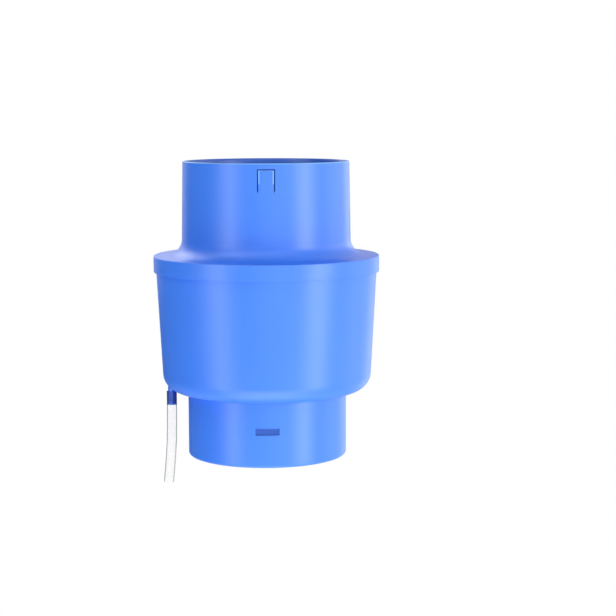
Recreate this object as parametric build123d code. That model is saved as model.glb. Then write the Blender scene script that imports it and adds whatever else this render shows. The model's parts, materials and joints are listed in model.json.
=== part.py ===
from build123d import *
import os
from math import degrees, radians, tan

# Flue condensate collector for a 125 mm plastic flue, in millimetres, with Z up along the duct.
# The origin is the centre of the spigot's lower end. The latch faces the front, -Y.
# Flue condensate drips from the socket's stop ring into the bowl and leaves by the drain nipple.
# The standpipe in the bowl carries the flue through and keeps the condensate out of the spigot.

# Duct joint, the same for the spigot below and the socket above
SPIGOT_R = 62.5
SPIGOT_WALL = 2.8
SPIGOT_LENGTH = 51.4  # lower end to the underside of the bowl
SPIGOT_EDGE_R = 2.0  # rounding that leads the spigot into a socket
JOINT_GAP = 0.4  # radial gap between a spigot and the socket round it
INSERTION = 38.2  # how deep a spigot goes into the socket

# Bowl
BOWL_R = 86.5  # outside of the rim
BOWL_HEIGHT = 104.1  # underside of the floor to the top of the rim
BOWL_WALL = 2.5
BOWL_DRAFT = 3.07  # degrees
BOWL_CORNER_R = 13.8  # outside rounding from wall to floor
RIM_HEIGHT = 12.0  # upright band of the wall that the lid takes

# Duct through the floor
ROOT_R = 1.5  # rounding where spigot and standpipe join the weld flange
WELD_FLANGE = 2.0  # flange round the spigot that fills the hole in the bowl's floor
STANDPIPE_HEIGHT = 62.0  # above the floor
STANDPIPE_WALL = 2.4
STANDPIPE_EDGE_R = 1.0
DRIP_STEP = 2.2  # how far its mouth stays inside the drip edge of the stop ring

# Lid
LID_WALL = 2.6
LID_GAP = 0.15  # radial gap to the bowl's rim, inside and outside
LID_EDGE_R = 0.8
SKIRT_WALL = 2.0
SKIRT_DROP = 12.6  # shoulder to the lower edge of the skirt
PLUG_WALL = 2.0  # ring that centres the lid inside the rim
PLUG_DROP = 8.0
FLARE_R = 13.0  # outside rounding from shoulder to socket

# Socket
SOCKET_HEIGHT = 73.6  # shoulder to mouth
SOCKET_WALL = 2.33  # at the mouth
SOCKET_DRAFT = 0.96  # degrees, wider towards the shoulder
MOUTH_EDGE_R = 0.6
MOUTH_LEAD = 0.8  # chamfer across the mouth, twice as long down the bore
STOP_HEIGHT = 2.5  # ring that the upper duct's spigot stands on

# Snap latch: a tongue with a nub in the socket, a window in the spigot
TONGUE_WIDTH = 11.3
TONGUE_LENGTH = 16.2
TONGUE_TOP = 5.2  # mouth to the tongue's free end
SLIT = 1.0
WINDOW_WIDTH = 18.3
WINDOW_HEIGHT = 5.2
WINDOW_LEDGE = 25.6  # spigot's end to the window's lower edge
NUB_WIDTH = 9.3
NUB_DEPTH = 1.6
LATCH_PLAY = 0.3  # between the nub and the window's edges, above and below

# Drain nipple under the left side of the bowl
NIPPLE_R = 2.95
NIPPLE_BORE_R = 2.0
NIPPLE_INSET = 5.76  # axis in from the foot of the bowl's wall
NIPPLE_LENGTH = 12.5  # below the underside of the floor
NIPPLE_EDGE = 0.5

# Drain hose, pushed over the nipple
HOSE_GAP = 0.05  # radial, on the nipple
HOSE_WALL = 1.0
HOSE_GRIP = 10.9  # length of nipple inside the hose
HOSE_ROUTE = [(0.0, 0.0), (0.0, -23.8), (-0.7, -48.8), (-3.15, -73.5)]  # across and up, from its top
ARC_SHARE = 0.45  # share of the shorter run that a bend takes up

OVERCUT = 1.0  # how far a cutting solid passes the face that it opens

# Heights and radii that follow from the sizes above
FLOOR_Z = SPIGOT_LENGTH
FLOOR_TOP_Z = FLOOR_Z + BOWL_WALL
RIM_TOP_Z = FLOOR_Z + BOWL_HEIGHT
RIM_BASE_Z = RIM_TOP_Z - RIM_HEIGHT
SHOULDER_Z = RIM_TOP_Z + LID_WALL
MOUTH_Z = SHOULDER_Z + SOCKET_HEIGHT
STOP_Z = MOUTH_Z - INSERTION
STANDPIPE_TOP_Z = FLOOR_TOP_Z + STANDPIPE_HEIGHT
DUCT_R = SPIGOT_R - SPIGOT_WALL
BORE_R = SPIGOT_R + JOINT_GAP
RIM_IN_R = BOWL_R - BOWL_WALL
WALL_FOOT_R = BOWL_R - (RIM_BASE_Z - FLOOR_Z) * tan(radians(BOWL_DRAFT))
WELD_R = SPIGOT_R + WELD_FLANGE
CORNER_R = min(BOWL_CORNER_R, WALL_FOOT_R - WELD_R)  # limited by the floor beside it
STANDPIPE_TOP_R = DUCT_R - DRIP_STEP
NIPPLE_X = -(WALL_FOOT_R - NIPPLE_INSET)
NIPPLE_END_Z = FLOOR_Z - NIPPLE_LENGTH
HOSE_BORE_R = NIPPLE_R + HOSE_GAP
HOSE_R = HOSE_BORE_R + HOSE_WALL
FRONT = -90.0  # degrees about Z from +X


def section(corners):
    """Closed face in the XZ plane from (radius, height, rounding) corners."""
    points = [(r, z) for r, z, _ in corners]
    roundings = [rounding for _, _, rounding in corners]
    outline = Plane.XZ * FilletPolyline(*points, radius=roundings, close=True)
    return make_face(outline.edges())


def turned(corners):
    """Solid of revolution about Z from (radius, height, rounding) corners."""
    return revolve(section(corners), axis=Axis.Z)


def turned_at_front(corners, width, radius):
    """Part of a solid of revolution, this wide at this radius, centred on the front."""
    angle = degrees(width / radius)
    return Rot(0, 0, FRONT - angle / 2) * revolve(section(corners), axis=Axis.Z, revolution_arc=angle)


def flue_shell():
    """Duct through the fitting before its window: spigot, weld flange and standpipe."""
    mouth_r = STANDPIPE_TOP_R - STANDPIPE_WALL
    return turned([
        (DUCT_R, 0, 0),
        (SPIGOT_R, 0, SPIGOT_EDGE_R),
        (SPIGOT_R, FLOOR_Z, ROOT_R),
        (WELD_R, FLOOR_Z, 0),
        (WELD_R, FLOOR_TOP_Z, 0),
        (DUCT_R + STANDPIPE_WALL, FLOOR_TOP_Z, ROOT_R),
        (STANDPIPE_TOP_R, STANDPIPE_TOP_Z, STANDPIPE_EDGE_R),
        (mouth_r, STANDPIPE_TOP_Z, STANDPIPE_EDGE_R),
        (DUCT_R, FLOOR_Z, 0),
    ])


def latch_window():
    """Window through the spigot, whose lower edge holds a nub down."""
    inside_r = DUCT_R - OVERCUT
    outside_r = SPIGOT_R + OVERCUT
    top_z = WINDOW_LEDGE + WINDOW_HEIGHT
    opening = [
        (inside_r, WINDOW_LEDGE, 0),
        (outside_r, WINDOW_LEDGE, 0),
        (outside_r, top_z, 0),
        (inside_r, top_z, 0),
    ]
    return turned_at_front(opening, WINDOW_WIDTH, SPIGOT_R)


def flue_pipe():
    """Duct welded through the bowl's floor: spigot with its latch window below, standpipe above."""
    return flue_shell() - latch_window()


def bowl_envelope():
    """Bowl without its hollow."""
    return turned([
        (0, FLOOR_Z, 0),
        (WALL_FOOT_R, FLOOR_Z, CORNER_R),
        (BOWL_R, RIM_BASE_Z, 0),
        (BOWL_R, RIM_TOP_Z, 0),
        (0, RIM_TOP_Z, 0),
    ])


def bowl_hollow():
    """Space inside the bowl, from its floor to its mouth."""
    return turned([
        (0, FLOOR_TOP_Z, 0),
        (WALL_FOOT_R - BOWL_WALL, FLOOR_TOP_Z, CORNER_R - BOWL_WALL),
        (RIM_IN_R, RIM_BASE_Z, 0),
        (RIM_IN_R, RIM_TOP_Z + OVERCUT, 0),
        (0, RIM_TOP_Z + OVERCUT, 0),
    ])


def floor_hole():
    """Hole in the bowl's floor that the duct's weld flange fills."""
    height = FLOOR_TOP_Z - NIPPLE_END_Z + 2 * OVERCUT
    hole = Cylinder(WELD_R, height, align=(Align.CENTER, Align.CENTER, Align.MAX))
    return Pos(0, 0, FLOOR_TOP_Z + OVERCUT) * hole


def nipple_envelope():
    """Drain nipple without its bore, standing up through the bowl's floor."""
    top_z = FLOOR_Z + CORNER_R
    outline = [
        (0, NIPPLE_END_Z, 0),
        (NIPPLE_R - NIPPLE_EDGE, NIPPLE_END_Z, 0),
        (NIPPLE_R, NIPPLE_END_Z + NIPPLE_EDGE, 0),
        (NIPPLE_R, top_z, 0),
        (0, top_z, 0),
    ]
    return Pos(NIPPLE_X, 0, 0) * turned(outline)


def drain_bore():
    """Hole through the nipple into the trough."""
    top_z = FLOOR_Z + CORNER_R
    height = top_z - NIPPLE_END_Z + OVERCUT
    bore = Cylinder(NIPPLE_BORE_R, height, align=(Align.CENTER, Align.CENTER, Align.MAX))
    return Pos(NIPPLE_X, 0, top_z) * bore


def collector_bowl():
    """Bowl that catches the condensate round the standpipe, with the drain nipple under it."""
    return bowl_envelope() + nipple_envelope() - bowl_hollow() - floor_hole() - drain_bore()


def socket_outside_r(z):
    """Outside radius of the socket's drafted wall at this height."""
    return BORE_R + SOCKET_WALL + (MOUTH_Z - z) * tan(radians(SOCKET_DRAFT))


def lid_shell():
    """Upper moulding before its latch: skirt, shoulder, flare, socket, stop ring and plug ring."""
    skirt_in_r = BOWL_R + LID_GAP
    skirt_r = skirt_in_r + SKIRT_WALL
    skirt_z = SHOULDER_Z - SKIRT_DROP
    plug_r = RIM_IN_R - LID_GAP
    plug_z = RIM_TOP_Z - PLUG_DROP
    stop_under_z = STOP_Z - STOP_HEIGHT
    foot_r = socket_outside_r(SHOULDER_Z)
    flat = plug_r - PLUG_WALL - foot_r  # room under the shoulder, which limits the flare
    flare_r = min(FLARE_R, flat)
    return turned([
        (skirt_in_r, skirt_z, 0),
        (skirt_r, skirt_z, 0),
        (skirt_r, SHOULDER_Z, LID_EDGE_R),
        (foot_r, SHOULDER_Z, flare_r),
        (socket_outside_r(MOUTH_Z), MOUTH_Z, MOUTH_EDGE_R),
        (BORE_R + MOUTH_LEAD, MOUTH_Z, 0),
        (BORE_R, MOUTH_Z - 2 * MOUTH_LEAD, 0),
        (BORE_R, STOP_Z, 0),
        (DUCT_R, STOP_Z, 0),
        (DUCT_R, stop_under_z, 0),
        (socket_outside_r(stop_under_z) - LID_WALL, stop_under_z, 0),
        (foot_r - LID_WALL, RIM_TOP_Z, flare_r + LID_WALL),
        (plug_r - PLUG_WALL, RIM_TOP_Z, 0),
        (plug_r - PLUG_WALL, plug_z, 0),
        (plug_r, plug_z, 0),
        (plug_r, RIM_TOP_Z, 0),
        (skirt_in_r, RIM_TOP_Z, 0),
    ])


def tongue_slits():
    """Three slits round the tongue: one down each side and one across its free end."""
    tip_z = MOUTH_Z - TONGUE_TOP
    root_z = tip_z - TONGUE_LENGTH
    outside_r = socket_outside_r(root_z) + OVERCUT
    inside_r = DUCT_R - OVERCUT
    through = outside_r - inside_r
    middle = (0, -(outside_r + inside_r) / 2)
    corner = (Align.CENTER, Align.CENTER, Align.MIN)
    side = Box(SLIT, through, TONGUE_LENGTH + SLIT, align=corner)
    across = Box(TONGUE_WIDTH + 2 * SLIT, through, SLIT, align=corner)
    aside = (TONGUE_WIDTH + SLIT) / 2
    slits = Pos(*middle, tip_z) * across
    for x in (-aside, aside):
        slits += Pos(x, middle[1], root_z) * side
    return slits


def latch_nub():
    """Wedge inside the tongue: a flat catch below and a ramp above, to drop into a window."""
    catch_z = STOP_Z + WINDOW_LEDGE + LATCH_PLAY
    top_z = catch_z + WINDOW_HEIGHT - 2 * LATCH_PLAY
    backed_r = BORE_R + SOCKET_WALL / 2
    wedge = [
        (BORE_R - NUB_DEPTH, catch_z, 0),
        (backed_r, catch_z, 0),
        (backed_r, top_z, 0),
        (BORE_R, top_z, 0),
    ]
    return turned_at_front(wedge, NUB_WIDTH, BORE_R)


def socket_lid():
    """Upper moulding: the bowl's lid with the flue socket and its snap tongue."""
    return lid_shell() - tongue_slits() + latch_nub()


def hose_path():
    """Hose centreline: straight runs joined by the largest tangent arcs that they take."""
    top_z = NIPPLE_END_Z + HOSE_GRIP
    points = [Vector(NIPPLE_X + across, 0, top_z + up) for across, up in HOSE_ROUTE]
    runs = [end - start for start, end in zip(points, points[1:])]
    radii = []
    for before, after in zip(runs, runs[1:]):
        half_turn = radians(before.get_angle(after)) / 2
        radii.append(ARC_SHARE * min(before.length, after.length) / tan(half_turn))
    print("hose bend radii", [round(radius, 1) for radius in radii])
    return FilletPolyline(*points, radius=radii)


def drain_hose():
    """Clear hose, a plain tube hanging from the nipple."""
    path = hose_path()
    start = Plane(path @ 0, z_dir=path % 0)
    hose = sweep(start * (Circle(HOSE_R) - Circle(HOSE_BORE_R)), path=path)
    ring = Circle(HOSE_R).area - Circle(HOSE_BORE_R).area
    print("hose length", round(path.length, 2), "volume", round(hose.volume, 2))
    print("hose ring times length", round(ring * path.length, 2))
    return hose


def main():
    """Build each piece and write it to its own file."""
    os.makedirs("parts", exist_ok=True)
    pieces = {
        "flue_pipe": flue_pipe(),
        "collector_bowl": collector_bowl(),
        "socket_lid": socket_lid(),
        "drain_hose": drain_hose(),
    }
    for name, piece in pieces.items():
        export_step(piece, f"parts/{name}.step")


main()
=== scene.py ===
import json
import logging
import math
from dataclasses import dataclass
from enum import Enum
from functools import partial, reduce
from typing import Callable, Iterable, NamedTuple

import bmesh
import bpy
import numpy as np
from bpy.types import Material, Node, NodeSocket, NodeTree, Object
from mathutils import Matrix, Vector


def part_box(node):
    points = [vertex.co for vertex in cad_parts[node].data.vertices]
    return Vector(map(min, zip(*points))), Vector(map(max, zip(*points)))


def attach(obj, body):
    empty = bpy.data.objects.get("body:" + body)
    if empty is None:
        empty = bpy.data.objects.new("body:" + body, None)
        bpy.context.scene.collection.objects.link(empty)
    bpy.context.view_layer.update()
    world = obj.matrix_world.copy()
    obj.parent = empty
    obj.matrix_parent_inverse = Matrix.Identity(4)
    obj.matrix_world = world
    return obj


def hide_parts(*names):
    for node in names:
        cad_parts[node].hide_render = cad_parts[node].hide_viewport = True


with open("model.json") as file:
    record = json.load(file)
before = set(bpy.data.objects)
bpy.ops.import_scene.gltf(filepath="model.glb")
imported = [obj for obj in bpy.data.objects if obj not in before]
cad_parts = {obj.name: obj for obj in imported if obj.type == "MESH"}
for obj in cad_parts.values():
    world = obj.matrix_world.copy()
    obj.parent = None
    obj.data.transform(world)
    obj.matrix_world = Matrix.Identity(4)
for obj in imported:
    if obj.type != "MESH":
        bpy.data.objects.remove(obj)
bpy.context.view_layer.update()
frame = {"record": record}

LOG = logging.getLogger("collector")

# All sizes below are in metres, in the frame's axes: Z up the duct, -Y to the front.
MM = 0.001
BODY = "root"
FRONT = -math.pi / 2
LEFT = -math.pi
FIRST_COLUMN = -1.5 * math.pi  # columns run round from the back, so front and left lie inside the run
STEP_EDGE = 0.1 * MM  # draft across a moulded step, so that its wall has some width
SLACK = 1e-9  # allowed for rounding where radii or angles are compared
SHARP_TURN = math.radians(28)  # edges of a moulding that turn by more are shown sharp
PLASTIC_IOR = 1.5
WHITE = (1.0, 1.0, 1.0, 1.0)

# Noise of the moulded surface, in cells to a metre. Streaks of flow are drawn out up the moulding.
FLOW_STRETCH = (1.0, 1.0, 0.35)
FLOW_SCALE = 22.0
GRAIN_SCALE = 2600.0
CORE_LEAN = -0.3  # a face is on the core side if its normal points less than this away from the axis

Colour = tuple[float, float, float, float]
Spot = tuple[float, float, float]
HeightOf = Callable[[np.ndarray], np.ndarray]  # height of a skin over spots in plan


class Slot(Enum):
    """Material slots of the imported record."""

    BLUE = "blue_plastic"
    CLEAR = "clear_hose"


class Ray(Enum):
    """Kinds of ray that the studio tells apart."""

    CAMERA = "Is Camera Ray"
    GLOSSY = "Is Glossy Ray"
    TRANSMISSION = "Is Transmission Ray"


class Mask(Enum):
    """Face attributes that the finishes read."""

    # lighter colour, a painted highlight on the tongue's edges and the mouth's lip
    PAINTED_HIGHLIGHT = "whitening"
    # darker colour, painted shade on the walls of the slits and the latch window
    CUT_SHADE = "cut"
    BORE = "bore"


class Corner(NamedTuple):
    """Corner of a turned outline: radius, height and the radius of its rounding."""

    r: float
    z: float
    rounding: float = 0.0


def mount_named(name: str) -> dict:
    """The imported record's mount of this name."""
    return next(mount for mount in frame["record"]["mounts"] if mount["name"] == name)


def directions(angles: np.ndarray) -> np.ndarray:
    """Unit vectors in a plane, one row for each of these angles."""
    return np.stack([np.cos(angles), np.sin(angles)], 1)


def rounded_outline(corners: list[Corner], arc_step: float = math.radians(5.0)) -> np.ndarray:
    """Closed outline with an arc at each rounded corner.

    Formula: an arc of radius R in a corner of opening angle a has its centre R / sin(a / 2) along the
    bisector, and its ends lie R / tan(a / 2) from the corner on either side.

    Args:
        corners: the corners in order round the outline.
        arc_step: largest turn between two points of an arc.

    Returns:
        Points as an array of (radius, height) rows.
    """
    spots = np.array([(corner.r, corner.z) for corner in corners])
    runs = []
    for before, spot, after, corner in zip(np.roll(spots, 1, 0), spots, np.roll(spots, -1, 0), corners):
        if corner.rounding == 0:
            runs.append(spot[None])
            continue
        back = (before - spot) / np.linalg.norm(before - spot)
        on = (after - spot) / np.linalg.norm(after - spot)
        half = math.acos(np.clip(back @ on, -1, 1)) / 2
        bisector = (back + on) / np.linalg.norm(back + on)
        centre = spot + bisector * corner.rounding / math.sin(half)
        reach = corner.rounding / math.tan(half)
        start, end = spot + back * reach - centre, spot + on * reach - centre
        first = math.atan2(start[1], start[0])
        turn = math.remainder(math.atan2(end[1], end[0]) - first, math.tau)
        angles = first + np.linspace(0, turn, max(3, math.ceil(abs(turn) / arc_step) + 1))
        runs.append(centre + corner.rounding * directions(angles))
    return np.concatenate(runs)


def column_angles(count: int, marks: np.ndarray, keep_off: float = 0.4) -> np.ndarray:
    """Angles of the columns round a turned piece.

    Args:
        count: number of evenly spaced columns.
        marks: angles that also need a column, such as the sides of a slit.
        keep_off: share of an even step that is kept clear beside a mark.

    Returns:
        Sorted angles, without the even columns that lie close to a mark.
    """
    step = math.tau / count
    even = FIRST_COLUMN + step * np.arange(count)
    clear = np.abs(even[:, None] - marks[None]).min(1) > keep_off * step
    return np.sort(np.concatenate([even[clear], marks]))


def turned_points(radii: np.ndarray, heights: np.ndarray, angles: np.ndarray) -> np.ndarray:
    """Grid of a turned surface: x = r cos a, y = r sin a, z as given.

    Args:
        radii: radius at each row and column.
        heights: height of each row.
        angles: angle of each column.

    Returns:
        Points as a rows by columns by 3 array.
    """
    z = np.broadcast_to(heights[:, None], radii.shape)
    return np.stack([radii * np.cos(angles), radii * np.sin(angles), z], 2)


def ring_faces(closed: np.ndarray) -> np.ndarray:
    """Quads of a grid that closes on itself both ways.

    Args:
        closed: rows by columns, true where the cell that starts there has a face.

    Returns:
        Vertex numbers of the quads.
    """
    rows, cols = closed.shape
    i, j = np.nonzero(closed)
    down, on = (i + 1) % rows, (j + 1) % cols
    return np.stack([i * cols + j, i * cols + on, down * cols + on, down * cols + j], 1)


def band_faces(loops: np.ndarray) -> np.ndarray:
    """Quads between successive closed loops.

    Args:
        loops: vertex numbers, one loop in each row.

    Returns:
        Vertex numbers of the quads.
    """
    here, below = loops[:-1], loops[1:]
    quads = [here, np.roll(here, -1, 1), np.roll(below, -1, 1), below]
    return np.stack(quads, 2).reshape(-1, 4)


def rows_at(outline: np.ndarray, radii: np.ndarray | float, heights: np.ndarray) -> np.ndarray:
    """Rows of an outline that lie at these radii and heights.

    Args:
        outline: points as (radius, height) rows.
        radii: radius of each spot, or one radius for all.
        heights: height of each spot.

    Returns:
        Row numbers.
    """
    spots = np.stack([np.broadcast_to(radii, heights.shape), heights], 1)
    return np.abs(outline[:, None] - spots[None]).sum(2).argmin(0)


def cut_walls(opened: np.ndarray, skins: np.ndarray, cols: np.ndarray, width: int) -> np.ndarray:
    """Quads that join the outer and inner skins of a wall round its open cells.

    Args:
        opened: true for each open cell between the rows and columns.
        skins: outline rows of the outer and the inner skin.
        cols: grid columns round the open cells.
        width: number of columns in the whole grid.

    Returns:
        Vertex numbers of the quads.
    """
    grid = skins[:, :, None] * width + cols[None, None]
    padded = np.pad(opened, 1)
    i, j = np.nonzero(padded[1:-1, 1:] != padded[1:-1, :-1])
    upright = np.stack([grid[0, i, j], grid[0, i + 1, j], grid[1, i + 1, j], grid[1, i, j]], 1)
    i, j = np.nonzero(padded[1:, 1:-1] != padded[:-1, 1:-1])
    level = np.stack([grid[0, i, j], grid[0, i, j + 1], grid[1, i, j + 1], grid[1, i, j]], 1)
    return np.concatenate([upright, level])


def open_cells(
    closed: np.ndarray, opened: np.ndarray | np.bool_, skins: Iterable[np.ndarray], cols: np.ndarray
) -> None:
    """Takes the faces of a wall's open cells from both of its skins.

    Args:
        closed: true where a cell of the whole grid has a face; changed here.
        opened: true for each open cell between the rows and columns, or for all of them.
        skins: outline rows of the outer and the inner skin.
        cols: grid columns round the open cells.
    """
    for skin in skins:
        closed[np.ix_(np.minimum(skin[:-1], skin[1:]), cols[:-1])] &= ~opened


def linked(name: str, data: bpy.types.ID) -> Object:
    """A new object in the scene.

    Args:
        name: the object's name.
        data: its mesh, curve, lamp or camera.

    Returns:
        The object.
    """
    holder = bpy.data.objects.new(name, data)
    bpy.context.scene.collection.objects.link(holder)
    return holder


def make_piece(
    name: str, points: np.ndarray, faces: np.ndarray, sharp: float, masks: dict[Mask, np.ndarray]
) -> Object:
    """Mesh object with outward faces, smooth but for its sharp edges.

    Args:
        name: the piece's name.
        points: vertex places.
        faces: quads as vertex numbers.
        sharp: edges that turn by more than this angle are shown sharp.
        masks: values from 0 to 1 on each face, for the finish.

    Returns:
        The object, linked to the scene.
    """
    mesh = bpy.data.meshes.new(name)
    mesh.from_pydata(points.reshape(-1, 3).tolist(), [], faces.tolist())
    for mask, values in masks.items():
        mesh.attributes.new(mask.value, "FLOAT", "FACE").data.foreach_set("value", values.astype(float))
    work = bmesh.new()
    work.from_mesh(mesh)
    bmesh.ops.delete(work, geom=[v for v in work.verts if not v.link_faces], context="VERTS")
    bmesh.ops.recalc_face_normals(work, faces=work.faces)
    work.to_mesh(mesh)
    work.free()
    mesh.polygons.foreach_set("use_smooth", np.ones(len(mesh.polygons), dtype=bool))
    mesh.set_sharp_from_angle(angle=sharp)
    return linked(name, mesh)


class Nodes:
    """Short way to place and join the nodes of one tree."""

    def __init__(self, tree: NodeTree) -> None:
        """Starts an empty tree."""
        self.tree = tree
        tree.nodes.clear()

    def add(
        self, kind: str, inputs: dict[str | int, object] | None = None, **settings: object
    ) -> Node:
        """Places a node.

        Args:
            kind: the node's type.
            inputs: socket name or number to a value, or to a socket that is linked there.
            settings: properties of the node.

        Returns:
            The node.
        """
        node = self.tree.nodes.new(kind)
        for key, value in settings.items():
            setattr(node, key, value)
        for key, value in (inputs or {}).items():
            if isinstance(value, NodeSocket):
                self.tree.links.new(value, node.inputs[key])
            else:
                node.inputs[key].default_value = value
        return node

    def math(self, operation: str, *values: float | NodeSocket) -> NodeSocket:
        """Result of a Math node on these values."""
        return self.add("ShaderNodeMath", dict(enumerate(values)), operation=operation).outputs[0]

    def vector(self, operation: str, *values: Spot | NodeSocket) -> Node:
        """Vector Math node on these values."""
        return self.add("ShaderNodeVectorMath", dict(enumerate(values)), operation=operation)

    def mask(self, kind: Mask) -> NodeSocket:
        """Value of one of the face attributes."""
        return self.add("ShaderNodeAttribute", attribute_name=kind.value).outputs["Fac"]

    def blend(
        self, share: NodeSocket, first: Colour | NodeSocket, second: Colour | NodeSocket
    ) -> NodeSocket:
        """Colour between two, by a share from 0 to 1."""
        return self.add("ShaderNodeMix", {0: share, 6: first, 7: second}, data_type="RGBA").outputs[2]

    def rays(self, *kinds: Ray) -> NodeSocket:
        """One for rays of these kinds, and zero for the rest."""
        path = self.add("ShaderNodeLightPath").outputs
        return reduce(partial(self.math, "MAXIMUM"), (path[kind.value] for kind in kinds))

    def ramp(
        self,
        value: NodeSocket,
        start: float,
        end: float,
        low: float = 0.0,
        high: float = 1.0,
        smooth: bool = False,
    ) -> NodeSocket:
        """Number that goes from one level to another as a value goes from its start to its end.

        Args:
            value: the value.
            start: where the low level ends.
            end: where the high level begins.
            low: level up to the start.
            high: level from the end on.
            smooth: whether the change eases in and out.

        Returns:
            The level.
        """
        return self.add(
            "ShaderNodeMapRange",
            {"Value": value, "From Min": start, "From Max": end, "To Min": low, "To Max": high},
            interpolation_type="SMOOTHSTEP" if smooth else "LINEAR",
        ).outputs[0]


def new_material(name: str) -> tuple[Material, Nodes]:
    """An empty node material.

    Args:
        name: the material's name.

    Returns:
        The material and its tree.
    """
    material = bpy.data.materials.new(name)
    material.use_nodes = True
    return material, Nodes(material.node_tree)


def moulding_grain() -> NodeTree:
    """Node group for moulded plastic: slow tint and gloss changes and a fine spark-eroded grain.

    Returns:
        The group, with Colour, Roughness and Height outputs.
    """
    tree = bpy.data.node_groups.new("moulding_grain", "ShaderNodeTree")
    sockets = {
        "INPUT": {
            "Colour": "Color",
            "Flow Colour": "Color",
            "Roughness": "Float",
            "Roughness Spread": "Float",
        },
        "OUTPUT": {"Colour": "Color", "Roughness": "Float", "Height": "Float"},
    }
    for way, kinds in sockets.items():
        for name, kind in kinds.items():
            tree.interface.new_socket(name, in_out=way, socket_type=f"NodeSocket{kind}")
    nodes = Nodes(tree)
    given = nodes.add("NodeGroupInput").outputs
    place = nodes.add("ShaderNodeTexCoord").outputs["Object"]
    drawn_out = nodes.add("ShaderNodeMapping", {"Vector": place, "Scale": FLOW_STRETCH}).outputs[0]
    flow, grain = (
        nodes.add("ShaderNodeTexNoise", {"Vector": spot, "Scale": scale, "Detail": detail}).outputs[0]
        for spot, scale, detail in ((drawn_out, FLOW_SCALE, 3.0), (place, GRAIN_SCALE, 2.0))
    )
    colour = nodes.blend(flow, given["Colour"], given["Flow Colour"])
    centred = nodes.math("SUBTRACT", flow, 0.5)
    roughness = nodes.math("MULTIPLY_ADD", centred, given["Roughness Spread"], given["Roughness"])
    nodes.add("NodeGroupOutput", {"Colour": colour, "Roughness": roughness, "Height": grain})
    return tree


def core_side() -> NodeTree:
    """Node group for the core side of a turned moulding, the faces that look at the Z axis.

    Returns:
        The group, with a Mask output: one where the normal leans well towards the axis.
    """
    # the plastic darkens the faces of this mask as painted shade
    tree = bpy.data.node_groups.new("core_side", "ShaderNodeTree")
    tree.interface.new_socket("Mask", in_out="OUTPUT", socket_type="NodeSocketFloat")
    nodes = Nodes(tree)
    place = nodes.add("ShaderNodeTexCoord").outputs["Object"]
    plan = nodes.vector("MULTIPLY", place, (1.0, 1.0, 0.0)).outputs["Vector"]
    outwards = nodes.vector("NORMALIZE", plan).outputs["Vector"]
    normal = nodes.add("ShaderNodeNewGeometry").outputs["True Normal"]
    lean = nodes.vector("DOT_PRODUCT", normal, outwards).outputs["Value"]
    nodes.add("NodeGroupOutput", {"Mask": nodes.math("LESS_THAN", lean, CORE_LEAN)})
    return tree


@dataclass(frozen=True)
class MouldedPlastic:
    """Satin blue polypropylene as it leaves the mould."""

    colour: Colour = (0.042, 0.214, 0.935, 1.0)
    flow_colour: Colour = (0.048, 0.226, 0.960, 1.0)
    specular: float = 0.77
    roughness: float = 0.40
    roughness_spread: float = 0.08
    grain_depth: float = 0.02 * MM
    grain_strength: float = 0.12
    # colour of the painted highlight on the tongue's edges and the mouth's lip
    highlighted: Colour = (0.22, 0.55, 0.98, 1.0)
    # colour of the painted shade on faces that look at the axis, inside the socket and the duct
    inside_shade: Colour = (0.018, 0.140, 0.67, 1.0)
    # colour of the painted shade on the walls of the slits and the latch window
    cut: Colour = (0.003, 0.026, 0.15, 1.0)

    def material(self, grain: NodeTree) -> Material:
        """The finish as a material.

        Args:
            grain: the shared moulding group.

        Returns:
            The material.
        """
        material, nodes = new_material(Slot.BLUE.value)
        surface = nodes.add(
            "ShaderNodeGroup",
            {
                "Colour": self.colour,
                "Flow Colour": self.flow_colour,
                "Roughness": self.roughness,
                "Roughness Spread": self.roughness_spread,
            },
            node_tree=grain,
        )
        bump = nodes.add(
            "ShaderNodeBump",
            {
                "Height": surface.outputs["Height"],
                "Strength": self.grain_strength,
                "Distance": self.grain_depth,
            },
        )
        # painted shade on faces that look at the axis and on the cut walls, then painted highlight on
        # the tongue's edges and the lip
        inside = nodes.add("ShaderNodeGroup", node_tree=core_side()).outputs["Mask"]
        cut, highlight_mask = nodes.mask(Mask.CUT_SHADE), nodes.mask(Mask.PAINTED_HIGHLIGHT)
        colour = surface.outputs["Colour"]
        for mask, tint in ((inside, self.inside_shade), (cut, self.cut), (highlight_mask, self.highlighted)):
            colour = nodes.blend(mask, colour, tint)
        shader = nodes.add(
            "ShaderNodeBsdfPrincipled",
            {
                "Base Color": colour,
                "Roughness": surface.outputs["Roughness"],
                "Normal": bump.outputs[0],
                "IOR": PLASTIC_IOR,
                "Specular IOR Level": self.specular,
            },
        )
        nodes.add("ShaderNodeOutputMaterial", {"Surface": shader.outputs[0]})
        return material


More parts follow.
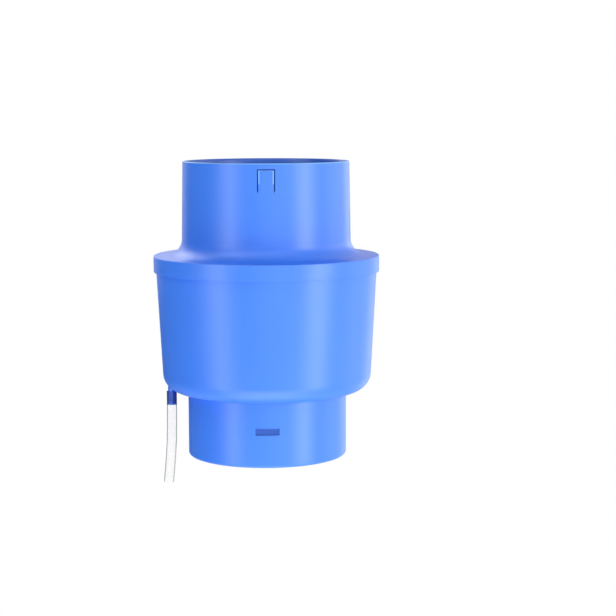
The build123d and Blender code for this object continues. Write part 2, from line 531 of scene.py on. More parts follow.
@dataclass(frozen=True)
class ClearHose:
    """Clear soft PVC: grey where its wall is seen edge on, and dark where the nipple fills it."""

    nipple_end: float
    wall: Colour = (0.23, 0.23, 0.25, 1.0)
    flow_colour: Colour = (0.27, 0.27, 0.29, 1.0)
    filled: Colour = (0.052, 0.075, 0.30, 1.0)
    lining: Colour = (0.92, 0.93, 0.95, 1.0)
    lining_alpha: float = 0.08
    clear_alpha: float = 0.02
    edge_start: float = 0.36
    edge_end: float = 0.55
    edge_alpha: float = 0.6
    filled_start: float = 0.22
    filled_end: float = 0.38
    filled_alpha: float = 0.35
    blend: float = 0.3 * MM
    roughness: float = 0.12
    roughness_spread: float = 0.03

    @staticmethod
    def edge_on(nodes: Nodes, start: float, end: float, clear: float, full: float) -> NodeSocket:
        """Opacity that grows from clear to full as the wall turns edge on, between two facing values."""
        facing = nodes.add("ShaderNodeLayerWeight").outputs["Facing"]
        return nodes.ramp(facing, start, end, clear, full, smooth=True)

    def material(self, grain: NodeTree) -> Material:
        """The finish as a material.

        Args:
            grain: the shared moulding group.

        Returns:
            The material.
        """
        material, nodes = new_material(Slot.CLEAR.value)
        surface = nodes.add(
            "ShaderNodeGroup",
            {
                "Colour": self.wall,
                "Flow Colour": self.flow_colour,
                "Roughness": self.roughness,
                "Roughness Spread": self.roughness_spread,
            },
            node_tree=grain,
        )
        place = nodes.add("ShaderNodeTexCoord").outputs["Object"]
        height = nodes.add("ShaderNodeSeparateXYZ", {0: place}).outputs["Z"]
        low, high = self.nipple_end - self.blend, self.nipple_end + self.blend
        filled = nodes.ramp(height, low, high)
        empty = self.edge_on(nodes, self.edge_start, self.edge_end, self.clear_alpha, self.edge_alpha)
        full = self.edge_on(nodes, self.filled_start, self.filled_end, self.filled_alpha, 1.0)
        outer = nodes.add("ShaderNodeMix", {0: filled, 2: empty, 3: full}, data_type="FLOAT").outputs[0]
        inner = nodes.ramp(height, low, high, self.lining_alpha, 0.0)
        bore = nodes.mask(Mask.BORE)
        alpha = nodes.add("ShaderNodeMix", {0: bore, 2: outer, 3: inner}, data_type="FLOAT").outputs[0]
        colour = nodes.blend(filled, surface.outputs["Colour"], self.filled)
        colour = nodes.blend(bore, colour, self.lining)
        shader = nodes.add(
            "ShaderNodeBsdfPrincipled",
            {
                "Base Color": colour,
                "Roughness": surface.outputs["Roughness"],
                "IOR": PLASTIC_IOR,
                "Alpha": alpha,
            },
        )
        nodes.add("ShaderNodeOutputMaterial", {"Surface": shader.outputs[0]})
        return material


@dataclass(frozen=True)
class DuctJoint:
    """Sizes that the spigot below and the socket above share."""

    spigot_r: float = mount_named("spigot")["dims"]["r_mm"] * MM
    bore_r: float = mount_named("socket")["dims"]["r_mm"] * MM
    insertion: float = mount_named("socket")["dims"]["length_mm"] * MM
    mouth_z: float = mount_named("socket")["pos_m"][2]
    spigot_wall: float = 2.8 * MM
    window_width: float = 18.3 * MM
    window_height: float = 5.2 * MM
    window_ledge: float = 25.6 * MM
    latch_play: float = 0.3 * MM

    @property
    def duct_r(self) -> float:
        """Inside radius of a spigot."""
        return self.spigot_r - self.spigot_wall

    @property
    def stop_z(self) -> float:
        """Height that an inserted spigot stands on."""
        return self.mouth_z - self.insertion


@dataclass(frozen=True)
class BowlRim:
    """Sizes that the bowl and its lid share."""

    top_z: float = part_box("collector_bowl")[1][2]
    radius: float = 86.5 * MM
    wall: float = 2.5 * MM


class TongueRows(NamedTuple):
    """Heights of the grid's rows round the snap tongue, from its root up."""

    root: float
    # lowest row of the painted highlight strips on the tongue's edges
    highlight_foot: float
    under_catch: float
    catch: float
    ramp_top: float
    tip: float
    slit_top: float


@dataclass(frozen=True)
class SocketLid:
    """Upper moulding: the bowl's lid with the flue socket and its snap tongue."""

    joint: DuctJoint
    rim: BowlRim
    lid_wall: float = 2.6 * MM
    lid_gap: float = 0.15 * MM
    lid_edge: float = 0.8 * MM
    small_edge: float = 0.3 * MM
    skirt_wall: float = 2.0 * MM
    skirt_drop: float = 12.6 * MM
    plug_wall: float = 2.0 * MM
    plug_drop: float = 8.0 * MM
    flare: float = 13.0 * MM
    socket_wall: float = 2.33 * MM
    draft: float = math.radians(0.96)
    mouth_edge: float = 0.6 * MM
    mouth_lead: float = 0.8 * MM
    stop_height: float = 2.5 * MM
    tongue_width: float = 11.3 * MM
    tongue_length: float = 16.2 * MM
    tongue_top: float = 5.2 * MM
    slit: float = 1.0 * MM
    nub_width: float = 9.3 * MM
    nub_depth: float = 1.6 * MM
    # strips of painted highlight along the tongue's edges, and the painted highlight's share on the
    # mouth's lip
    highlight_width: float = 0.75 * MM
    highlight_length: float = 10.3 * MM
    lip_highlight: float = 0.9
    columns: int = 256

    def outside_r(self, z: np.ndarray | float) -> np.ndarray | float:
        """Outside radius of the socket's drafted wall at this height."""
        return self.joint.bore_r + self.socket_wall + (self.joint.mouth_z - z) * math.tan(self.draft)

    def tongue_rows(self) -> TongueRows:
        """Heights of the grid's rows round the tongue.

        Returns:
            The heights, with those of the nub set so that it lies in an inserted spigot's window.
        """
        tip = self.joint.mouth_z - self.tongue_top
        catch = self.joint.stop_z + self.joint.window_ledge + self.joint.latch_play
        return TongueRows(
            root=tip - self.tongue_length,
            highlight_foot=tip - self.highlight_length,
            under_catch=catch - STEP_EDGE,
            catch=catch,
            ramp_top=catch + self.joint.window_height - 2 * self.joint.latch_play,
            tip=tip,
            slit_top=tip + self.slit,
        )

    def corners(self, rows: TongueRows) -> list[Corner]:
        """The lid's section, with a point at each of these rows inside and outside the socket.

        Args:
            rows: heights round the tongue.

        Returns:
            The corners in order, from the skirt outwards and up, and down again inside.
        """
        joint = self.joint
        shoulder = self.rim.top_z + self.lid_wall
        skirt_in = self.rim.radius + self.lid_gap
        skirt = skirt_in + self.skirt_wall
        skirt_z = shoulder - self.skirt_drop
        plug = self.rim.radius - self.rim.wall - self.lid_gap
        plug_z = self.rim.top_z - self.plug_drop
        under = joint.stop_z - self.stop_height
        foot = self.outside_r(shoulder)
        return [
            Corner(skirt_in, skirt_z, self.small_edge),
            Corner(skirt, skirt_z, self.small_edge),
            Corner(skirt, shoulder, self.lid_edge),
            Corner(foot, shoulder, self.flare),
            *[Corner(self.outside_r(z), z) for z in rows],
            Corner(self.outside_r(joint.mouth_z), joint.mouth_z, self.mouth_edge),
            Corner(joint.bore_r + self.mouth_lead, joint.mouth_z, self.small_edge),
            Corner(joint.bore_r, joint.mouth_z - 2 * self.mouth_lead),
            *[Corner(joint.bore_r, z) for z in rows[::-1]],
            Corner(joint.bore_r, joint.stop_z, self.small_edge),
            Corner(joint.duct_r, joint.stop_z, self.small_edge),
            Corner(joint.duct_r, under, self.small_edge),
            Corner(self.outside_r(under) - self.lid_wall, under, self.small_edge),
            Corner(foot - self.lid_wall, self.rim.top_z, self.flare + self.lid_wall),
            Corner(plug - self.plug_wall, self.rim.top_z, self.small_edge),
            Corner(plug - self.plug_wall, plug_z, self.small_edge),
            Corner(plug, plug_z, self.small_edge),
            Corner(plug, self.rim.top_z),
            Corner(skirt_in, self.rim.top_z),
        ]

    def build(self) -> Object:
        """Turned shell with three slits round the tongue and the latch nub inside it.

        Formula: the section is turned about Z. Cells in the slits have no face outside or inside, and
        quads between the two skins close the slits' walls, which carry painted shade. Inside the tongue
        the radius drops by the nub's depth, which falls evenly from its catch to the top of its ramp. A
        painted highlight lightens the tongue's cut edges over a narrow strip, and the mouth's rounded
        lip.

        Returns:
            The piece.
        """
        joint = self.joint
        rows = self.tongue_rows()
        heights = np.array(rows)
        outline = rounded_outline(self.corners(rows))
        middle_r = joint.bore_r + self.socket_wall / 2
        inner, outer = self.tongue_width / 2 / middle_r, (self.tongue_width / 2 + self.slit) / middle_r
        nub = self.nub_width / 2 / joint.bore_r
        strip = inner - self.highlight_width / middle_r
        steps = np.array([nub, nub + STEP_EDGE / middle_r, strip, inner, outer])
        angles = column_angles(self.columns, FRONT + np.concatenate([-steps, steps]))
        skins = np.stack([
            rows_at(outline, self.outside_r(heights), heights),
            rows_at(outline, joint.bore_r, heights),
        ])
        aside = np.abs(angles - FRONT)
        on_bore = np.isin(np.arange(len(outline)), skins[1])
        slope = [rows.under_catch, rows.catch, rows.ramp_top]
        depth = np.interp(outline[:, 1], slope, [0.0, self.nub_depth, 0.0]) * on_bore
        sunk = np.outer(depth, aside <= nub + SLACK)
        points = turned_points(outline[:, :1] - sunk, outline[:, 1], angles)
        cols = np.nonzero(aside <= outer + SLACK)[0]
        middles = np.abs(angles[cols[:-1]] + angles[cols[1:]] - 2 * FRONT) / 2
        above_tip = (heights[:-1] + heights[1:])[:, None] / 2 > rows.tip
        opened = above_tip | (middles > inner)[None]
        closed = np.ones((len(outline), len(angles)), dtype=bool)
        open_cells(closed, opened, skins, cols)
        # share of painted highlight on each face: the mouth's rounded lip and strips along the tongue's
        # edges
        white = np.zeros(closed.shape)
        lip = self.outside_r(joint.mouth_z) - self.mouth_edge, joint.mouth_z - self.mouth_edge
        white[(outline > np.array(lip) - SLACK).all(1)] = self.lip_highlight
        highlighted = skins[0][:-1][(heights[:-1] >= rows.highlight_foot) & (heights[:-1] < rows.tip)]
        white[np.ix_(highlighted, cols[:-1][(middles > strip) & (middles < inner)])] = 1.0
        shell, walls = ring_faces(closed), cut_walls(opened, skins, cols, len(angles))
        # the slits' walls carry painted shade
        masks = {
            Mask.PAINTED_HIGHLIGHT: np.concatenate([white[closed], np.zeros(len(walls))]),
            Mask.CUT_SHADE: np.repeat([0.0, 1.0], [len(shell), len(walls)]),
        }
        return make_piece("moulded_lid", points, np.concatenate([shell, walls]), SHARP_TURN, masks)

    def dress(self, piece: Object, finish: Material) -> None:
        """Gives the piece its finish and its place in the frame.

        Args:
            piece: the piece.
            finish: its material.
        """
        piece.data.materials.append(finish)
        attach(piece, BODY)
        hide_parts("socket_lid")


@dataclass(frozen=True)
class CollectorBowl:
    """Bowl with its drain nipple, and the duct welded through its floor as spigot and standpipe."""

    joint: DuctJoint
    rim: BowlRim
    floor_z: float = 51.4 * MM
    draft: float = math.radians(3.07)
    corner: float = 13.8 * MM
    rim_height: float = 12.0 * MM
    root: float = 1.5 * MM
    spigot_edge: float = 2.0 * MM
    small_edge: float = 0.4 * MM
    standpipe_height: float = 62.0 * MM
    standpipe_wall: float = 2.4 * MM
    standpipe_edge: float = 1.0 * MM
    drip_step: float = 2.2 * MM
    nipple_r: float = 2.95 * MM
    nipple_bore: float = 2.0 * MM
    nipple_inset: float = 5.76 * MM
    nipple_length: float = 12.5 * MM
    nipple_edge: float = 0.5 * MM
    nipple_root: float = 0.5 * MM
    root_turns: tuple[float, ...] = (30.0, 60.0, 90.0)  # degrees round the nipple's root
    patch_margin: float = 1.0 * MM
    patch_rows: int = 12
    patch_cols: int = 10
    patch_half: float = math.radians(3.4)
    patch_rings: int = 4
    arc_step: float = math.radians(3.6)
    columns: int = 256

    @property
    def wall_foot(self) -> float:
        """Outside radius at which the wall would meet the underside of the floor."""
        rise = self.rim.top_z - self.rim_height - self.floor_z
        return self.rim.radius - rise * math.tan(self.draft)

    @property
    def nipple_x(self) -> float:
        """Place of the nipple's axis."""
        return self.nipple_inset - self.wall_foot

    def window_rows(self) -> np.ndarray:
        """Heights of the rows at the latch window's lower and upper edges."""
        return self.joint.window_ledge + np.array([0.0, self.joint.window_height])

    def corners(self, rows: np.ndarray) -> list[Corner]:
        """The bowl's section, with a point on both sides of the spigot at each of these rows.

        Args:
            rows: heights at the latch window.

        Returns:
            The corners in order, up the outside and down the inside.
        """
        joint = self.joint
        floor_top = self.floor_z + self.rim.wall
        rim_base = self.rim.top_z - self.rim_height
        rim_in = self.rim.radius - self.rim.wall
        pipe_top = floor_top + self.standpipe_height
        pipe_r = joint.duct_r - self.drip_step
        return [
            Corner(joint.duct_r, 0.0, self.small_edge),
            Corner(joint.spigot_r, 0.0, self.spigot_edge),
            *[Corner(joint.spigot_r, z) for z in rows],
            Corner(joint.spigot_r, self.floor_z, self.root),
            Corner(self.wall_foot, self.floor_z, self.corner),
            Corner(self.rim.radius, rim_base),
            Corner(self.rim.radius, self.rim.top_z, self.small_edge),
            Corner(rim_in, self.rim.top_z, self.small_edge),
            Corner(rim_in, rim_base),
            Corner(self.wall_foot - self.rim.wall, floor_top, self.corner - self.rim.wall),
            Corner(joint.duct_r + self.standpipe_wall, floor_top, self.root),
            Corner(pipe_r, pipe_top, self.standpipe_edge),
            Corner(pipe_r - self.standpipe_wall, pipe_top, self.standpipe_edge),
            Corner(joint.duct_r, self.floor_z),
            *[Corner(joint.duct_r, z) for z in rows[::-1]],
        ]

    def drain_loops(
        self, outline: np.ndarray, cols: np.ndarray, points: np.ndarray
    ) -> tuple[np.ndarray, np.ndarray, np.ndarray]:
        """Loops of points that lead from the bowl's underside down the nipple and up its bore.

        Formula: a rectangle of grid points round the nipple shrinks step by step to a circle, in plan,
        and each point is set to the height of the bowl's skin at its radius. From the circle the loops
        run down the nipple, round its end and up the bore to the circle in the trough's floor.

        Args:
            outline: the bowl's section.
            cols: the grid columns of the patch.
            points: the turned grid.

        Returns:
            Grid rows of the rectangles outside and inside, in order of radius, and the new loops.
        """
        centre = np.array([self.nipple_x, 0.0])
        under = self.skin_rows(outline, self.joint.spigot_r, 0.0)
        trough = self.skin_rows(outline, self.joint.duct_r + self.standpipe_wall, self.rim.wall)
        outside, inside = self.skin_height(outline, under), self.skin_height(outline, trough)
        blocks = []
        for rows, reach in ((under, self.nipple_r + 2 * self.nipple_root), (trough, self.nipple_bore)):
            first = int(np.searchsorted(outline[rows, 0], -centre[0] - reach - self.patch_margin))
            blocks.append(rows[first - 1 : first + self.patch_rows])
        outer, inner = blocks
        spots, width = points.reshape(-1, 3), points.shape[1]
        outer_edge, inner_edge = (spots[self.edge_index(block, cols, width)] for block in blocks)
        down = self.shrink(outer_edge, centre, self.nipple_r + self.nipple_root, outside)
        up = self.shrink(inner_edge, centre, self.nipple_bore + self.nipple_edge / 2, inside)[::-1]
        turn = self.bearing(outer_edge, centre)
        loops = [*down, *self.nipple_rings(centre, turn, outside, inside), *up]
        return outer, inner, np.array(loops)

    def skin_rows(self, outline: np.ndarray, foot: float, inset: float) -> np.ndarray:
        """Rows of one skin of the bowl's floor and wall.

        Args:
            outline: the bowl's section.
            foot: radius of the duct that the skin starts from.
            inset: how far the skin lies inside the bowl's outer one.

        Returns:
            Row numbers from the duct to the rim.
        """
        radii = np.array([foot + self.root, self.rim.radius - inset])
        heights = np.array([self.floor_z + inset, self.rim.top_z - self.rim_height])
        first, last = rows_at(outline, radii, heights)
        return np.arange(first, last, np.sign(last - first))

    @staticmethod
    def skin_height(outline: np.ndarray, rows: np.ndarray) -> HeightOf:
        """Height of a skin as a function of the distance from the axis."""
        return lambda spots: np.interp(np.hypot(spots[..., 0], spots[..., 1]), *outline[rows].T)

    @staticmethod
    def edge_index(rows: np.ndarray, cols: np.ndarray, width: int) -> np.ndarray:
        """Vertex numbers round the edge of a block of the grid."""
        block = rows[:, None] * width + cols[None]
        return np.concatenate([block[0, :-1], block[:-1, -1], block[-1, :0:-1], block[:0:-1, 0]])

    @staticmethod
    def bearing(edge: np.ndarray, centre: np.ndarray) -> np.ndarray:
        """Direction in plan from a centre to each point of an edge."""
        return np.arctan2(edge[:, 1] - centre[1], edge[:, 0] - centre[0])

    def shrink(
        self, edge: np.ndarray, centre: np.ndarray, radius: float, height: HeightOf
    ) -> list[np.ndarray]:
        """Loops from a block's edge to a circle on the same skin.

        Args:
            edge: points of the block's edge.
            centre: centre of the circle, in plan.
            radius: radius of the circle.
            height: height of the skin.

        Returns:
            The loops after the edge, the circle last.
        """
        turn = self.bearing(edge, centre)
        circle = centre + radius * directions(turn)
        share = np.linspace(0, 1, self.patch_rings + 1)[1:, None, None]
        plan = (1 - share) * edge[None, :, :2] + share * circle[None]
        return list(np.concatenate([plan, height(plan)[..., None]], 2))

    def nipple_rings(
        self, centre: np.ndarray, turn: np.ndarray, outside: HeightOf, inside: HeightOf
    ) -> list[np.ndarray]:
        """Loops down the nipple, round its end and up its bore.

        Args:
            centre: the nipple's axis, in plan.
            turn: direction of each point round the axis.
            outside: height of the bowl's underside.
            inside: height of the trough's floor.

        Returns:
            The loops in order.
        """
        around = directions(turn)
        end = self.floor_z - self.nipple_length
        loops = []
        for lift in np.radians(self.root_turns):
            plan = centre + around * (self.nipple_r + self.nipple_root * (1 - math.sin(lift)))
            drop = self.nipple_root * (1 - math.cos(lift))
            loops.append(np.concatenate([plan, outside(plan)[:, None] - drop], 1))
        edge = self.nipple_edge
        round_the_end = [
            (self.nipple_r, end + edge),
            (self.nipple_r - edge / 3, end + edge / 3),
            (self.nipple_r - edge, end),
            (self.nipple_bore + edge / 4, end),
            (self.nipple_bore, end + edge / 4),
        ]
        for radius, z in round_the_end:
            plan = centre + around * radius
            loops.append(np.concatenate([plan, np.full((len(plan), 1), z)], 1))
        plan = centre + around * self.nipple_bore
        loops.append(np.concatenate([plan, inside(plan)[:, None] - edge / 2], 1))
        return loops

    def build(self) -> Object:
        """Turned shell with the latch window cut through the spigot and the nipple grown from the floor.

        Formula: the section is turned about Z. Cells in the window have no face outside or inside, and
        quads between the two skins close its walls, which carry painted shade. Two blocks of cells, one
        in each skin of the floor, are left out, and the loops of the nipple join them.

        Returns:
            The piece.
        """
        joint = self.joint
        rows = self.window_rows()
        outline = rounded_outline(self.corners(rows), self.arc_step)
        half = joint.window_width / 2 / joint.spigot_r
        patch = LEFT + np.linspace(-self.patch_half, self.patch_half, self.patch_cols + 1)
        angles = column_angles(self.columns, np.concatenate([[FRONT - half, FRONT + half], patch]))
        cols = np.nonzero(np.abs(angles - LEFT) <= self.patch_half + SLACK)[0]
        radii = np.broadcast_to(outline[:, :1], (len(outline), len(angles)))
        points = turned_points(radii, outline[:, 1], angles)
        outer, inner, loops = self.drain_loops(outline, cols, points)
        closed = np.ones(points.shape[:2], dtype=bool)
        open_cells(closed, np.True_, (outer, inner), cols)
        width = len(angles)
        skins = np.stack([rows_at(outline, radius, rows) for radius in (joint.spigot_r, joint.duct_r)])
        front = np.nonzero(np.abs(angles - FRONT) <= half + SLACK)[0]
        opened = np.ones((1, len(front) - 1), dtype=bool)
        open_cells(closed, opened, skins, front)
        numbers = closed.size + np.arange(math.prod(loops.shape[:2])).reshape(loops.shape[:2])
        ends = [self.edge_index(block, cols, width)[None] for block in (outer, inner)]
        chain = np.concatenate([ends[0], numbers, ends[1]])
        shell = np.concatenate([ring_faces(closed), band_faces(chain)])
        walls = cut_walls(opened, skins, front, width)
        everything = np.concatenate([points.reshape(-1, 3), loops.reshape(-1, 3)])
        # the window's walls carry painted shade
        masks = {Mask.CUT_SHADE: np.repeat([0.0, 1.0], [len(shell), len(walls)])}
        return make_piece("moulded_bowl", everything, np.concatenate([shell, walls]), SHARP_TURN, masks)

    def dress(self, piece: Object, finish: Material) -> None:
        """Gives the piece its finish and its place in the frame.

        Args:
            piece: the piece.
            finish: its material.
        """
        piece.data.materials.append(finish)
        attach(piece, BODY)
        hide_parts("flue_pipe", "collector_bowl")


@dataclass(frozen=True)
class DrainHose:
    """Clear hose that hangs from the drain nipple."""

    bowl: CollectorBowl
    radius: float = 4.0 * MM
    bore: float = 3.0 * MM
    grip: float = 10.9 * MM
    squeeze: float = 0.03 * MM
    lip: float = 0.25 * MM
    open_from: float = 0.2 * MM  # the bore widens between these distances past the nipple's end
    open_to: float = 2.0 * MM
    points_on_route: tuple[tuple[float, float], ...] = (
        (0.0, 0.0), (0.0, -23.8), (-0.7, -48.8), (-3.15, -73.5),
    )  # mm across and up from the hose's top
    resolution: int = 24
    columns: int = 48
    sharp: float = math.radians(50)

    def route(self) -> np.ndarray:
        """The hose's route.

        Returns:
            Control points from its top on the nipple to its open end.
        """
        top = self.bowl.floor_z - self.bowl.nipple_length + self.grip
        steps = np.array(self.points_on_route) * MM
        return np.stack([self.bowl.nipple_x + steps[:, 0], 0 * steps[:, 0], top + steps[:, 1]], 1)

    def centreline(self) -> np.ndarray:
        """Points of the smooth curve that has the route as its control points.

        Returns:
            Points from the top to the open end.
        """
        curve = bpy.data.curves.new("hose_line", "CURVE")
        curve.dimensions = "3D"
        spline = curve.splines.new("NURBS")
        route = self.route()
        spline.points.add(len(route) - 1)
        spline.points.foreach_set("co", np.concatenate([route, np.ones((len(route), 1))], 1).ravel())
        spline.order_u = 3
        spline.use_endpoint_u = True
        spline.resolution_u = self.resolution
        holder = linked("hose_line", curve)
        depsgraph = bpy.context.evaluated_depsgraph_get()
        line = bpy.data.meshes.new_from_object(holder.evaluated_get(depsgraph))
        points = np.empty(len(line.vertices) * 3)
        line.vertices.foreach_get("co", points)
        bpy.data.objects.remove(holder)
        bpy.data.curves.remove(curve)
        bpy.data.meshes.remove(line)
        return points.reshape(-1, 3)

    def section(self, length: np.ndarray) -> tuple[np.ndarray, np.ndarray]:
        """The tube's wall as radius against length, once down the outside and back up the bore.

        Formula: on the nipple the bore is squeezed to the nipple's radius and opens to its own radius
        just past the nipple's end. Both ends have a small rounded lip.

        Args:
            length: distance of each centreline point from the top.

        Returns:
            Distance along the centreline and radius, for each row of the closed wall.
        """
        total, lip = length[-1], self.lip
        body = length[(length > 2 * lip) & (length < total - 2 * lip)]
        past = self.grip + np.array([self.open_from, self.open_to])
        inside = np.sort(np.concatenate([body, past]))
        tight = self.bowl.nipple_r - self.squeeze
        bore = np.interp(inside, past, [tight, self.bore])
        along = np.concatenate([
            [0.0, lip], body, [total - lip, total],
            [total, total - lip], inside[::-1], [lip, 0.0],
        ])
        rounded = [self.radius - lip, self.radius]
        radii = np.concatenate([
            rounded, np.full(len(body), self.radius), rounded[::-1],
            [self.bore + lip, self.bore], bore[::-1], [tight, tight + lip],
        ])
        return along, radii

    def build(self) -> tuple[Object, np.ndarray]:
        """Tube with a bore, carried along the centreline.

        Formula: each point is the centreline's point plus the radius times (cos t across + sin t Y),
        where across is square to the line in the XZ plane, in which the hose hangs.

        Returns:
            The piece and the points that it follows.
        """
        line = self.centreline()
        length = np.concatenate([[0.0], np.cumsum(np.linalg.norm(np.diff(line, axis=0), axis=1))])
        along, radii = self.section(length)
        spots, heading = (
            np.stack([np.interp(along, length, values) for values in rows.T], 1)
            for rows in (line, np.gradient(line, length, axis=0))
        )
        across = np.stack([-heading[:, 2], 0 * heading[:, 0], heading[:, 0]], 1)
        across /= np.linalg.norm(across, axis=1)[:, None]
        turn = np.arange(self.columns) * math.tau / self.columns
        cos, sin = np.cos(turn)[None, :, None], np.sin(turn)[None, :, None]
        round_way = cos * across[:, None] + sin * np.array([0, 1, 0])
        points = spots[:, None] + radii[:, None, None] * round_way
        faces = ring_faces(np.ones(points.shape[:2], dtype=bool))
        outside = (radii == self.radius) & (np.roll(radii, -1) == self.radius)
        bore = np.repeat(~outside, self.columns)
        return make_piece("clear_drain_hose", points, faces, self.sharp, {Mask.BORE: bore}), line

    def dress(self, piece: Object, line: np.ndarray, finish: Material) -> None:
        """Gives the hose its finish and its place in the frame.

        Args:
            piece: the hose.
            line: the points that it follows; not used.
            finish: its material.
        """
        piece.data.materials.append(finish)
        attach(piece, BODY)
        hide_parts("drain_hose")


@dataclass(frozen=True)
class Softbox:
    """Rectangular studio lamp that looks at the middle of the fitting."""

    name: str
    azimuth: float  # degrees from the front towards +X
    elevation: float
    distance: float
    width: float
    height: float
    watts: float

    def build(self, target: Vector) -> None:
        """Places the lamp.

        Args:
            target: the spot that it looks at.
        """
        lamp = bpy.data.lights.new(self.name, "AREA")
        lamp.shape = "RECTANGLE"
        lamp.size = self.width
        lamp.size_y = self.height
        lamp.energy = self.watts
        holder = linked(self.name, lamp)
        turn, lift = math.radians(self.azimuth), math.radians(self.elevation)
        level = math.cos(lift)
        away = Vector((math.sin(turn) * level, -math.cos(turn) * level, math.sin(lift)))
        holder.location = target + self.distance * away
        holder.rotation_euler = away.to_track_quat("Z", "Y").to_euler()


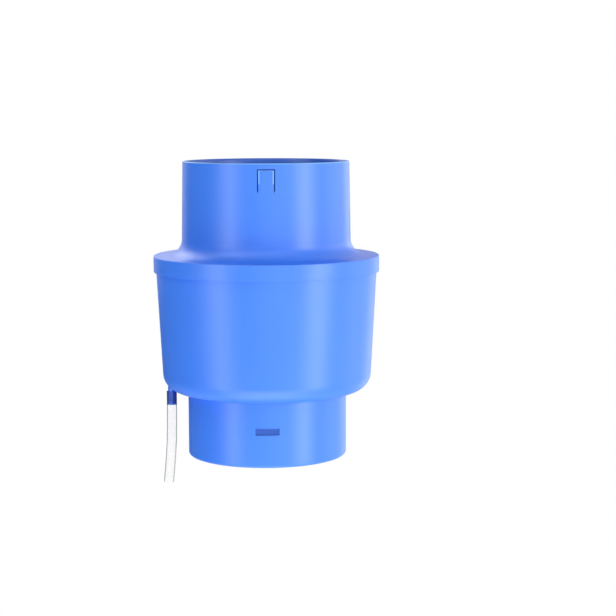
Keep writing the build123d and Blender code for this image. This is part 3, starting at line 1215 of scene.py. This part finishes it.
@dataclass(frozen=True)
class Studio:
    """Pale floor, white surroundings, soft lamps and the camera."""

    middle: Spot = (0.0, 0.0, 115 * MM)
    ambient: float = 0.12
    bright_side: float = 75.0  # degrees from the front towards +X
    dark_from: float = -0.75  # cosine from the bright side at which the surroundings are darkest
    dark_level: float = 0.22
    floor_z: float = -0.70
    floor_reach: float = 30.0
    floor_colour: Colour = (0.86, 0.87, 0.88, 1.0)
    fibre_colour: Colour = (0.9, 0.9, 0.9, 1.0)
    fibre_scale: float = 60.0
    shadow_glow: float = 0.7  # share of white under the fitting, where the paper keeps its shadow
    shadow_near: float = 0.8
    shadow_far: float = 1.5
    mirror_near: float = 0.5  # reflections show a white floor up to here
    mirror_far: float = 1.1  # and its paper from here on
    camera_spot: Spot = (0.0, -1.30764, 0.27448)
    camera_pitch: float = math.radians(6.932)
    camera_yaw: float = math.radians(1.428)
    camera_roll: float = math.radians(-0.16)
    lens: float = 97.36
    sensor: float = 36.0
    lamps: tuple[Softbox, ...] = (
        Softbox("right_box", 53.0, 0.0, 1.3, 0.44, 1.3, 10.4),
        Softbox("left_box", -50.0, 0.0, 1.3, 0.42, 1.3, 6.3),
        Softbox("front_box", 9.0, -2.0, 1.7, 1.1, 0.6, 3.0),
        Softbox("side_box", 102.0, 0.0, 1.2, 0.70, 1.3, 3.8),
        Softbox("back_box", 142.0, -10.0, 1.2, 0.60, 1.0, 3.1),
        Softbox("table_box", 0.0, -66.0, 0.80, 0.8, 0.8, 3.0),
        Softbox("table_edge_box", 0.0, -38.0, 1.2, 2.0, 0.3, 3.9),
        Softbox("upper_front_box", 12.0, 50.0, 1.5, 1.0, 0.6, 2.2),
        Softbox("upper_left_box", -60.0, 52.0, 1.4, 0.8, 0.6, 4.0),
        Softbox("upper_rear_box", -135.0, 40.0, 1.3, 0.8, 0.5, 2.3),
        Softbox("rear_box", -158.0, 25.0, 1.4, 1.2, 0.3, 3.1),
        Softbox("rim_box", -146.0, 14.0, 0.60, 0.12, 0.40, 0.22),
    )

    def world(self) -> None:
        """White surroundings, which light the fitting and show in its sheen less from the left."""
        world = bpy.data.worlds.new("studio")
        world.use_nodes = True
        bpy.context.scene.world = world
        nodes = Nodes(world.node_tree)
        way = nodes.add("ShaderNodeTexCoord").outputs["Generated"]
        turn = math.radians(self.bright_side)
        bright = (math.sin(turn), -math.cos(turn), 0.0)
        side = nodes.vector("DOT_PRODUCT", way, bright).outputs["Value"]
        level = nodes.ramp(side, self.dark_from, 0.0, self.dark_level, 1.0)
        dim = nodes.math("MULTIPLY", level, self.ambient)
        light, shine, white = (
            nodes.add("ShaderNodeBackground", {"Color": WHITE, "Strength": strength}).outputs[0]
            for strength in (dim, level, 1.0)
        )
        mirrored = nodes.rays(Ray.GLOSSY)
        lit = nodes.add("ShaderNodeMixShader", {0: mirrored, 1: light, 2: shine}).outputs[0]
        seen = nodes.rays(Ray.CAMERA, Ray.TRANSMISSION)
        shown = nodes.add("ShaderNodeMixShader", {0: seen, 1: lit, 2: white}).outputs[0]
        nodes.add("ShaderNodeOutputWorld", {"Surface": shown})

    def floor(self) -> None:
        """Pale floor, well below the fitting, which hangs in its duct line and shades the paper."""
        across = np.array([-1.0, 1.0]) * self.floor_reach
        x, y = np.meshgrid(across, across)
        spots = np.stack([x.ravel(), y.ravel(), np.full(4, self.floor_z)], 1)
        mesh = bpy.data.meshes.new("floor")
        mesh.from_pydata(spots.tolist(), [], [(0, 1, 3, 2)])
        material, nodes = new_material("floor_paper")
        place = nodes.add("ShaderNodeTexCoord").outputs["Object"]
        fibre = nodes.add(
            "ShaderNodeTexNoise", {"Vector": place, "Scale": self.fibre_scale, "Detail": 4.0}
        ).outputs[0]
        colour = nodes.blend(fibre, self.floor_colour, self.fibre_colour)
        paper = nodes.add("ShaderNodeBsdfDiffuse", {"Color": colour})
        glow = nodes.add("ShaderNodeEmission", {"Color": WHITE, "Strength": 1.0})
        away = nodes.vector("LENGTH", place).outputs["Value"]
        lit = nodes.ramp(away, self.shadow_near, self.shadow_far, self.shadow_glow, 1.0, smooth=True)
        near = nodes.ramp(away, self.mirror_near, self.mirror_far, 1.0, 0.0, smooth=True)
        shown = nodes.math("MULTIPLY", nodes.rays(Ray.CAMERA, Ray.TRANSMISSION), lit)
        white = nodes.math("MULTIPLY_ADD", nodes.rays(Ray.GLOSSY), near, shown)
        mix = nodes.add("ShaderNodeMixShader", {0: white, 1: paper.outputs[0], 2: glow.outputs[0]})
        nodes.add("ShaderNodeOutputMaterial", {"Surface": mix.outputs[0]})
        mesh.materials.append(material)
        floor = linked("floor", mesh)

    def camera(self) -> None:
        """Camera at the photograph's viewing angle."""
        data = bpy.data.cameras.new("camera")
        data.lens = self.lens
        data.sensor_width = self.sensor
        holder = linked("camera", data)
        turn = (
            Matrix.Rotation(-self.camera_yaw, 3, "Z")
            @ Matrix.Rotation(math.pi / 2 - self.camera_pitch, 3, "X")
            @ Matrix.Rotation(self.camera_roll, 3, "Z")
        )
        holder.location = self.camera_spot
        holder.rotation_euler = turn.to_euler()
        bpy.context.scene.camera = holder

    def build(self) -> None:
        """Sets up the whole studio."""
        bpy.context.scene.view_settings.view_transform = "Standard"
        self.world()
        self.floor()
        for lamp in self.lamps:
            lamp.build(Vector(self.middle))
        self.camera()


def main() -> None:
    """Sets up the studio, then builds and dresses each piece."""
    logging.basicConfig(level=logging.INFO, format="%(name)s: %(message)s")
    Studio().build()
    LOG.info("studio and camera")
    grain = moulding_grain()
    blue = MouldedPlastic().material(grain)
    joint, rim = DuctJoint(), BowlRim()
    bowl = CollectorBowl(joint, rim)
    hose = DrainHose(bowl)
    tube, line = hose.build()
    hose.dress(tube, line, ClearHose(bowl.floor_z - bowl.nipple_length).material(grain))
    LOG.info("%s with %d faces", tube.name, len(tube.data.polygons))
    for part in (bowl, SocketLid(joint, rim)):
        piece = part.build()
        part.dress(piece, blue)
        LOG.info("%s with %d faces", piece.name, len(piece.data.polygons))


if __name__ == "__main__":
    main()
